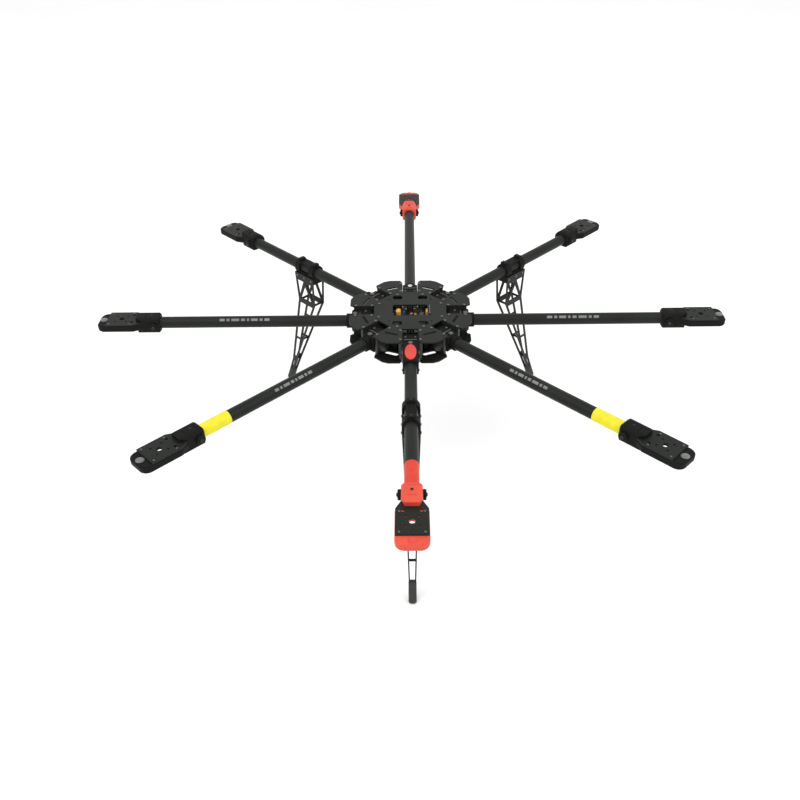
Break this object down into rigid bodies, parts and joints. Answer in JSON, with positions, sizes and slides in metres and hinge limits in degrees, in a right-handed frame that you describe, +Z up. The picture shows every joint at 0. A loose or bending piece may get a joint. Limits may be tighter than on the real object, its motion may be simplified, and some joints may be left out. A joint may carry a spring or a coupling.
{
  "type": "folding octocopter frame",
  "caption": "Bare folding multicopter frame: octagonal carbon hub with tube arms at equal angles, flat motor mounts, three splayed lattice landing legs.",
  "frame": {"origin": "on the hub axis, at floor level under the three feet", "axes": "+Z up along the hub axis, -Y towards the nose arm with the oval marker, +X to the craft's right seen from behind the tail, that is towards the arm named right"},
  "size_m": [1.08, 1.08, 0.3223],
  "materials": {
    "carbon_tube": "satin woven carbon fibre tube",
    "carbon_plate": "satin woven carbon fibre sheet",
    "leg_plate": "satin carbon fibre sheet",
    "black_plastic": "moulded nylon, fine grain",
    "red_plastic": "moulded nylon, red, semi-gloss",
    "black_aluminium": "black anodised",
    "steel": "bright steel",
    "screw": "zinc-plated steel",
    "red_band": "shrink sleeve",
    "yellow_band": "shrink sleeve",
    "red_oval": "moulded, semi-gloss",
    "circuit_board": "black solder mask",
    "rubber": "matt rubber"
  },
  "bodies": {
    "hub": {"top_plate": "carbon_plate", "bottom_plate": "carbon_plate", "hinge_walls": "black_aluminium", "pivot_pins": "steel", "hub_standoffs": "black_aluminium", "hub_screws": "screw", "power_board": "circuit_board"},
    "arm_front": {"tube_front": "carbon_tube", "root_front": "black_plastic", "mount_front": "red_plastic", "motor_plate_front": "carbon_plate", "band_front": "red_band", "nose_marker": "red_oval", "leg_frame_front": "leg_plate", "leg_clamp_front": "black_plastic", "leg_foot_front": "rubber"},
    "button_front": {"lock_front": "steel"},
    "arm_front_right": {"tube_front_right": "carbon_tube", "root_front_right": "black_plastic", "mount_front_right": "black_plastic", "motor_plate_front_right": "carbon_plate", "band_front_right": "yellow_band"},
    "button_front_right": {"lock_front_right": "steel"},
    "arm_right": {"tube_right": "carbon_tube", "root_right": "black_plastic", "mount_right": "black_plastic", "motor_plate_right": "carbon_plate"},
    "button_right": {"lock_right": "steel"},
    "arm_rear_right": {"tube_rear_right": "carbon_tube", "root_rear_right": "black_plastic", "mount_rear_right": "black_plastic", "motor_plate_rear_right": "carbon_plate", "leg_frame_rear_right": "leg_plate", "leg_clamp_rear_right": "black_plastic", "leg_foot_rear_right": "rubber"},
    "button_rear_right": {"lock_rear_right": "steel"},
    "arm_rear": {"tube_rear": "carbon_tube", "root_rear": "black_plastic", "mount_rear": "red_plastic", "motor_plate_rear": "carbon_plate"},
    "button_rear": {"lock_rear": "steel"},
    "arm_rear_left": {"tube_rear_left": "carbon_tube", "root_rear_left": "black_plastic", "mount_rear_left": "black_plastic", "motor_plate_rear_left": "carbon_plate", "leg_frame_rear_left": "leg_plate", "leg_clamp_rear_left": "black_plastic", "leg_foot_rear_left": "rubber"},
    "button_rear_left": {"lock_rear_left": "steel"},
    "arm_left": {"tube_left": "carbon_tube", "root_left": "black_plastic", "mount_left": "black_plastic", "motor_plate_left": "carbon_plate"},
    "button_left": {"lock_left": "steel"},
    "arm_front_left": {"tube_front_left": "carbon_tube", "root_front_left": "black_plastic", "mount_front_left": "black_plastic", "motor_plate_front_left": "carbon_plate", "band_front_left": "yellow_band"},
    "button_front_left": {"lock_front_left": "steel"}
  },
  "joints": [
    {"name": "fold_front", "type": "hinge", "parent": "hub", "child": "arm_front", "pos_m": [0, -0.072, 0.3], "axis": [1, 0, 0], "range_deg": [0, 45]},
    {"name": "press_front", "type": "slide", "parent": "arm_front", "child": "button_front", "axis": [0, 0, -1], "range_m": [0, 0.003], "stiffness_N_per_m": 400},
    {"name": "fold_front_right", "type": "hinge", "parent": "hub", "child": "arm_front_right", "pos_m": [0.05091, -0.05091, 0.3], "axis": [0.7071, 0.7071, 0], "range_deg": [0, 90]},
    {"name": "press_front_right", "type": "slide", "parent": "arm_front_right", "child": "button_front_right", "axis": [0, 0, -1], "range_m": [0, 0.003], "stiffness_N_per_m": 400},
    {"name": "fold_right", "type": "hinge", "parent": "hub", "child": "arm_right", "pos_m": [0.072, 0, 0.3], "axis": [0, 1, 0], "range_deg": [0, 90]},
    {"name": "press_right", "type": "slide", "parent": "arm_right", "child": "button_right", "axis": [0, 0, -1], "range_m": [0, 0.003], "stiffness_N_per_m": 400},
    {"name": "fold_rear_right", "type": "hinge", "parent": "hub", "child": "arm_rear_right", "pos_m": [0.05091, 0.05091, 0.3], "axis": [-0.7071, 0.7071, 0], "range_deg": [0, 45]},
    {"name": "press_rear_right", "type": "slide", "parent": "arm_rear_right", "child": "button_rear_right", "axis": [0, 0, -1], "range_m": [0, 0.003], "stiffness_N_per_m": 400},
    {"name": "fold_rear", "type": "hinge", "parent": "hub", "child": "arm_rear", "pos_m": [0, 0.072, 0.3], "axis": [-1, 0, 0], "range_deg": [0, 90]},
    {"name": "press_rear", "type": "slide", "parent": "arm_rear", "child": "button_rear", "axis": [0, 0, -1], "range_m": [0, 0.003], "stiffness_N_per_m": 400},
    {"name": "fold_rear_left", "type": "hinge", "parent": "hub", "child": "arm_rear_left", "pos_m": [-0.05091, 0.05091, 0.3], "axis": [-0.7071, -0.7071, 0], "range_deg": [0, 45]},
    {"name": "press_rear_left", "type": "slide", "parent": "arm_rear_left", "child": "button_rear_left", "axis": [0, 0, -1], "range_m": [0, 0.003], "stiffness_N_per_m": 400},
    {"name": "fold_left", "type": "hinge", "parent": "hub", "child": "arm_left", "pos_m": [-0.072, 0, 0.3], "axis": [0, -1, 0], "range_deg": [0, 90]},
    {"name": "press_left", "type": "slide", "parent": "arm_left", "child": "button_left", "axis": [0, 0, -1], "range_m": [0, 0.003], "stiffness_N_per_m": 400},
    {"name": "fold_front_left", "type": "hinge", "parent": "hub", "child": "arm_front_left", "pos_m": [-0.05091, -0.05091, 0.3], "axis": [0.7071, -0.7071, 0], "range_deg": [0, 90]},
    {"name": "press_front_left", "type": "slide", "parent": "arm_front_left", "child": "button_front_left", "axis": [0, 0, -1], "range_m": [0, 0.003], "stiffness_N_per_m": 400}
  ]
}
